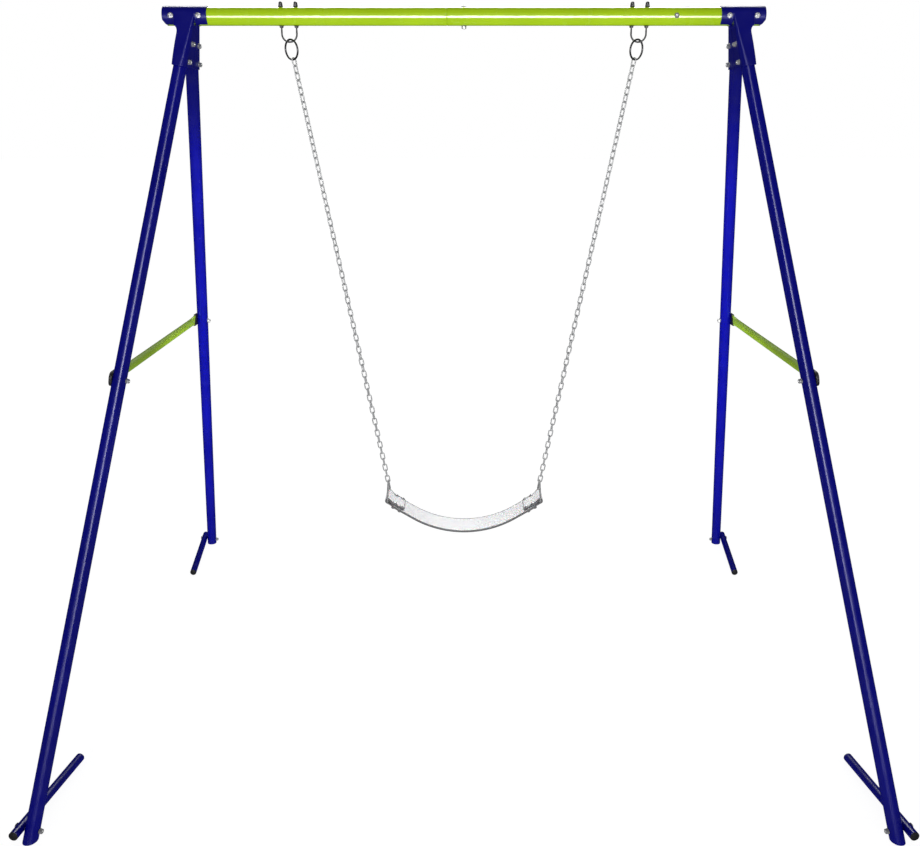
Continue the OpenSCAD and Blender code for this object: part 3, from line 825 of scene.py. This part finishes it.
def make_u_bolt(node):
    """A bent rod with a threaded stretch on each end."""
    low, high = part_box(node)
    wire = (high.y - low.y) / 2
    spread = (high.x - low.x) / 2 - wire
    middle = (low.x + high.x) / 2
    bend = low.z + wire + spread
    steps = 60
    rise = np.linspace(bend, high.z, steps)
    left = np.stack([np.full(steps, -spread), rise], axis=1)[::-1]
    bottom = arc((0, bend), spread, 180, 360, 40)
    flat = np.vstack([left, bottom[1:-1], left[::-1] * (-1, 1)])
    path = np.stack([middle + flat[:, 0], np.zeros(len(flat)), flat[:, 1]], axis=1)
    bar_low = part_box("crossbar_left")[0].z
    cut = path[:, 2] > bar_low - THREAD_BELOW_BAR
    radius = np.where(cut & (np.arange(len(path)) % 2 == 0), wire - THREAD_DEPTH, wire)
    detailed(node, [sweep(path, Y, radius, 18)])


def make_ring(node):
    """A round ring of round wire."""
    solid = solids(node)[0]
    wire = solid.size[2] / 2
    path = ring(solid.size[0] / 2 - wire, 0, 96)
    detailed(node, [placed(sweep(path, Z, wire, 20, closed=True), stand(solid, 2))])


def link_shape(length, width, wire):
    """One chain link about the origin, long along X and flat in Y; its weld shows on one side."""
    bend = width / 2
    straight = length / 2 - bend
    right = arc((straight, 0), bend, -90, 90, 13)
    side = np.stack([np.linspace(straight, -straight, 8)[1:-1], np.full(6, bend)], axis=1)
    half = np.vstack([right, side])
    flat = np.vstack([half, -half])
    path = np.column_stack([flat, np.zeros(len(flat))])
    bead = np.exp(-((path[:, 0] / WELD_LENGTH) ** 2)) * (path[:, 1] > bend * 0.9)
    return sweep(path, Z, wire * (1 + WELD_SWELL * bead), 14, closed=True)


def make_chain(node):
    """A welded link on each link of a CAD chain."""
    shapes = []
    for solid in solids(node):
        wire = solid.size[2] / 2
        length, width = solid.size[0] - 2 * wire, solid.size[1] - 2 * wire
        matrix = np.eye(4)
        matrix[:3, :3] = solid.axes
        matrix[:3, 3] = solid.middle
        shapes.append(placed(link_shape(length, width, wire), matrix))
    detailed(node, shapes)


def make_seat_hanger(node):
    """A triangle of bent wire: its eye holds the chain, and the belt is folded over its lower bar."""
    low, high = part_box(node)
    wire = (high.x - low.x) / 2
    eye, bend = wire + EYE_PAST_WIRE, HANGER_BEND
    half = (high.y - low.y) / 2 - wire
    pivot = high.z - wire - eye
    corner = np.array([half - bend, low.z + wire + bend - pivot])
    tilt = math.degrees(math.atan2(corner[1], corner[0]) + math.acos((eye - bend) / np.linalg.norm(corner)))
    top = arc((0, 0), eye, 180 - tilt, tilt, 17)
    right = arc(corner, bend, tilt, -90, 15)
    lower = np.stack([np.linspace(corner[0], -corner[0], 24)[1:-1], np.full(22, corner[1] - bend)], axis=1)
    side = spaced(top[-1], right[0], 16)
    flat = np.vstack([top, side, right, lower, (right * (-1, 1))[::-1], (side * (-1, 1))[::-1]])
    path = np.stack([np.full(len(flat), (low.x + high.x) / 2), flat[:, 0], pivot + flat[:, 1]], axis=1)
    detailed(node, [sweep(path, X, wire, 18, closed=True)])


# ---------- pressed and moulded parts ----------

VOXEL = 0.0009

STAY_RADIUS = 0.0125
FLAT_HALF_THICK = 0.002
FLAT_HALF_HIGH = 0.0185
FLAT_CORNER = 0.014
# How far from a brace's end its flat part and its round part begin
FLAT_REACH = 0.054
ROUND_REACH = 0.094
BRACE_SIDES = 48
# How square the flattened section is: 2 would be an ellipse
SQUARENESS = 8


def softened(node, rounds, keep):
    """A CAD node's shape with the rounded edges of pressed or moulded work, as a new mesh."""
    draft = link(bpy.data.objects.new("draft", frame["nodes"][node].data.copy()))
    weld = draft.modifiers.new("weld", "WELD")
    weld.merge_threshold = 0.00001
    remesh = draft.modifiers.new("remesh", "REMESH")
    remesh.mode = "VOXEL"
    remesh.voxel_size = VOXEL
    smooth = draft.modifiers.new("smooth", "SMOOTH")
    smooth.factor, smooth.iterations = 0.5, rounds
    lean = draft.modifiers.new("lean", "DECIMATE")
    lean.ratio = keep
    bpy.context.view_layer.update()
    shape = draft.evaluated_get(bpy.context.evaluated_depsgraph_get())
    mesh = bpy.data.meshes.new_from_object(shape)
    bpy.data.objects.remove(draft)
    return mesh


def make_brackets():
    """The four bracket halves: one is softened, and the others are its mirror images."""
    model = softened("bracket_rear_right", rounds=6, keep=0.25)
    for node, side, end in (
        ("bracket_rear_right", 1, 1), ("bracket_rear_left", -1, 1),
        ("bracket_front_right", 1, -1), ("bracket_front_left", -1, -1),
    ):
        mesh = model.copy()
        mesh.transform(Matrix.Diagonal((side, end, 1, 1)))
        if side * end < 0:
            mesh.flip_normals()
        finished(f"{node}_detailed", mesh, node, 180)


def make_brace_caps():
    """The soft black caps over the braces' flattened ends."""
    caps = softened("brace_end_caps", rounds=5, keep=0.35)
    finished("brace_end_caps_detailed", caps, "brace_end_caps", 180)


def flattened_section():
    """A ring around a brace's flattened end, as (thick, high) points from (FLAT_HALF_THICK, 0)."""
    angle = turns(BRACE_SIDES)
    direction = np.stack([np.cos(angle), np.sin(angle)], axis=1)
    reach = np.abs(direction[:, 0]) ** SQUARENESS + np.abs(direction[:, 1]) ** SQUARENESS
    return direction * (reach ** (-1 / SQUARENESS))[:, None] * (FLAT_HALF_THICK, FLAT_HALF_HIGH)


def brace_stops(half):
    """Places along a brace from end to end, closer together where its section changes."""
    flattening = np.linspace(half - ROUND_REACH, half - FLAT_REACH, 12)
    rounding = half - FLAT_CORNER * (1 - np.sin(np.radians([0, 20, 40, 55, 70, 80, 86])))
    stops = np.concatenate([[0.0], flattening, rounding])
    return np.concatenate([-stops[:0:-1], stops])


def make_brace(node):
    """A round tube whose ends are pressed flat where they are bolted to the legs."""
    solid = solids(node)[0]
    half = solid.size[0] / 2
    flat_from, round_to = half - FLAT_REACH, half - ROUND_REACH
    circle, plate = ring(STAY_RADIUS, 0, BRACE_SIDES)[:, :2], flattened_section()
    rings = []
    for y in brace_stops(half):
        share = np.clip((abs(y) - round_to) / (flat_from - round_to), 0, 1)
        share = share * share * (3 - 2 * share)
        section = circle * (1 - share) + plate * share
        over = abs(y) - (half - FLAT_CORNER)
        if over > 0:
            high = FLAT_HALF_HIGH - FLAT_CORNER + math.sqrt(max(FLAT_CORNER**2 - over**2, 0))
            section = section * (1, high / FLAT_HALF_HIGH)
        rings.append(np.column_stack([section, np.full(BRACE_SIDES, y)]))
    up = solid.axes[:, 1] if solid.axes[2, 1] > 0 else -solid.axes[:, 1]
    matrix = np.eye(4)
    matrix[:3, :3] = np.stack([np.cross(up, Y), up, Y], axis=1)
    matrix[:3, 3] = solid.middle
    detailed(node, [placed(loft(rings), matrix)], 50)


# ---------- seat belt ----------

BELT_THICK = 0.006
BELT_RADIUS = 0.330
BELT_SLOPE = 31.5
# Between the hanger's bar and the belt that is folded round it
BAR_SLIP = 0.0003
# Each end is narrower than the belt, from a rounded shoulder on.
TONGUE_HALF = 0.046
SHOULDER = 0.020
CORNER = 0.009
FOLD_START = 0.018
FLAP_LENGTH = 0.064

BELT_EDGE = 0.0024
GROOVE_IN = 0.011
GROOVE_DEPTH = 0.0006
# A groove's cross-section: (distance from its middle, share of its depth)
GROOVE = [(-0.0016, 0), (-0.0007, 0.8), (0, 1), (0.0007, 0.8), (0.0016, 0)]


def fold_path(wire):
    """The middle line round the hanger's bar and along the flap, in the slope's frame; and its radius."""
    layer = wire + BAR_SLIP + BELT_THICK / 2
    rest = np.array([-FOLD_START, -layer + BELT_THICK])
    reach = np.linalg.norm(rest)
    touch = math.degrees(math.atan2(rest[1], FOLD_START) + math.acos(layer / reach))
    around = arc((0, 0), layer, -90, 180 - touch, 26)
    down = spaced(around[-1], rest, 6)
    bend = np.array([rest + (0.0012, 0.0004), rest - (0.0012, 0.0)])
    flap = np.stack([np.linspace(rest[0] - 0.003, -FLAP_LENGTH, 26), np.full(26, rest[1])], axis=1)
    return layer, np.vstack([around, down[:-1], bend, flap])


def corner_reach(short):
    """How far a rounded corner reaches sideways where it is still short of its full width by this much."""
    return math.sqrt(CORNER**2 - min(max(short, 0), CORNER) ** 2)


def slope_width(from_bar):
    """Half of the belt's width on its slope, at a distance from the hanger's bar."""
    return TONGUE_HALF + corner_reach(SHOULDER + CORNER - from_bar)


def fold_width(x, z):
    """Half of the belt's width round the bar and on the flap, at a point of fold_path."""
    on_flap = z > -BELT_THICK / 4 and x < 0
    return TONGUE_HALF - CORNER + corner_reach(CORNER - (FLAP_LENGTH + x) if on_flap else 0)


def belt_half():
    """The middle line from the belt's bottom to its right flap, and half of its width at each point."""
    low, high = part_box("seat_hanger_right")
    wire = (high.x - low.x) / 2
    bar = np.array([(low.x + high.x) / 2, low.z + wire])
    slope = math.radians(BELT_SLOPE)
    out, up = np.array([math.cos(slope), math.sin(slope)]), np.array([-math.sin(slope), math.cos(slope)])
    layer, end = fold_path(wire)
    start = bar - up * layer
    edge = BELT_RADIUS * np.array([math.sin(slope), 1 - math.cos(slope)])
    straight = (start[0] - edge[0]) / math.cos(slope)
    bottom = start[1] - edge[1] - straight * math.sin(slope)
    curve = arc((0, bottom + BELT_RADIUS), BELT_RADIUS, -90, -90 + BELT_SLOPE, 48)
    shoulder = straight - SHOULDER - CORNER * (1 - np.cos(np.radians(np.linspace(0, 90, 8))))
    runs = np.unique(np.concatenate([np.linspace(0, straight, 34)[1:-1], shoulder]))
    fold = bar + np.outer(end[:, 0], out) + np.outer(end[:, 1], up)
    widths = [TONGUE_HALF + CORNER] * len(curve)
    widths += [slope_width(straight - run) for run in runs] + [fold_width(x, z) for x, z in end]
    return np.vstack([curve, curve[-1] + np.outer(runs, out), fold]), np.array(widths)


def belt_section(half, thick):
    """A ring round the belt, with a groove along each side of its upper face; and 1 on its side faces, where
    painted grey shade goes.
    """
    edge = min(BELT_EDGE, thick / 2 * 0.9)
    inset, groove, top = half - edge, half - GROOVE_IN, thick / 2
    left, right = ([(at + y, top - GROOVE_DEPTH * drop) for y, drop in GROOVE] for at in (-groove, groove))
    upper = left + [(y, top) for y in np.linspace(-groove + 0.004, groove - 0.004, 7)] + right
    corners = []
    for height, start in ((top - edge, 90), (edge - top, 0)):
        corners += [tuple(p) for p in arc((inset, height), edge, start, start - 90, 6)]
    lower = [(y, -top) for y in np.linspace(inset, -inset, 9)[1:-1]]
    mirrored = [(-y, n) for y, n in corners[::-1]]
    # 1 on the side faces: they get painted grey shade.
    cut = [0] * len(upper) + [1] * len(corners) + [0] * len(lower) + [1] * len(mirrored)
    return np.array(upper + corners + lower + mirrored), cut


def make_belt():
    """The belt: one strip that sags between the hangers and is folded over both of their bars."""
    path, widths = belt_half()
    thick = np.full(len(path), BELT_THICK)
    thick[-2:] = BELT_THICK * 0.75, BELT_THICK * 0.4
    path = np.vstack([(path * (-1, 1))[:0:-1], path])
    widths, thick = (np.concatenate([values[:0:-1], values]) for values in (widths, thick))
    ahead = np.gradient(path, axis=0)
    ahead /= np.linalg.norm(ahead, axis=1)[:, None]
    normal = np.stack([-ahead[:, 1], ahead[:, 0]], axis=1)
    rings, shade_marks = [], []
    for (x, z), (nx, nz), half, depth in zip(path, normal, widths, thick):
        section, cut = belt_section(half, depth)
        rings.append(np.stack([x + nx * section[:, 1], section[:, 0], z + nz * section[:, 1]], axis=1))
        # The flaps' thinned end rings are marked all round, for a painted contact shadow where each flap
        # ends.
        shade_marks.append([1] * len(cut) if depth < BELT_THICK else cut)
    belt = detailed("seat_belt", [loft(rings)], 50)
    marks = belt.data.attributes.new(PAINTED_EDGE_SHADE, "FLOAT", "POINT")
    marks.data.foreach_set("value", np.ravel(shade_marks).astype(float))


# ---------- the swing set ----------

BOLTS = ("bracket_bar_bolts", "bracket_leg_bolts", "brace_bolts", "foot_bolts", "crossbar_joint_bolt")
NUTS = (
    "bracket_bar_nuts", "bracket_leg_nuts", "brace_nuts", "foot_nuts", "crossbar_joint_nut",
    "u_bolt_washers", "u_bolt_lower_nuts",
)
PLAIN = ("crossbar_end_plugs", "crossbar_screw", "leg_bottom_plugs")


def keep_cad(node):
    """A CAD node whose plain shape is right, with its finish on it."""
    obj = frame["nodes"][node]
    for holder in obj.material_slots:
        holder.material = MATERIALS[SLOT_OF[node]]


def make_frame():
    """Everything that stands still."""
    make_crossbar()
    make_brackets()
    for side in ("left", "right"):
        make_brace(f"brace_{side}")
        make_u_bolt(f"u_bolt_{side}")
        for end in ("front", "rear"):
            make_leg(f"leg_{end}_{side}")
            make_foot(f"foot_{end}_{side}")
    make_brace_caps()
    make_foot_plugs()
    for node in BOLTS:
        headed_bolts(node)
    for node in NUTS:
        nuts_and_washers(node)
    make_acorn_nuts()
    for node in PLAIN:
        keep_cad(node)


def make_swing():
    """Everything that hangs from the U-bolts."""
    for side in ("left", "right"):
        make_ring(f"ring_{side}")
        make_chain(f"chain_{side}")
        make_seat_hanger(f"seat_hanger_{side}")
    make_belt()
    headed_bolts("seat_bolts", threaded=0.010)
    for node in ("seat_nuts", "seat_washers"):
        nuts_and_washers(node)


make_camera()
make_studio()
MATERIALS = make_materials()
make_frame()
make_swing()
bpy.context.scene.view_settings.view_transform = "Standard"
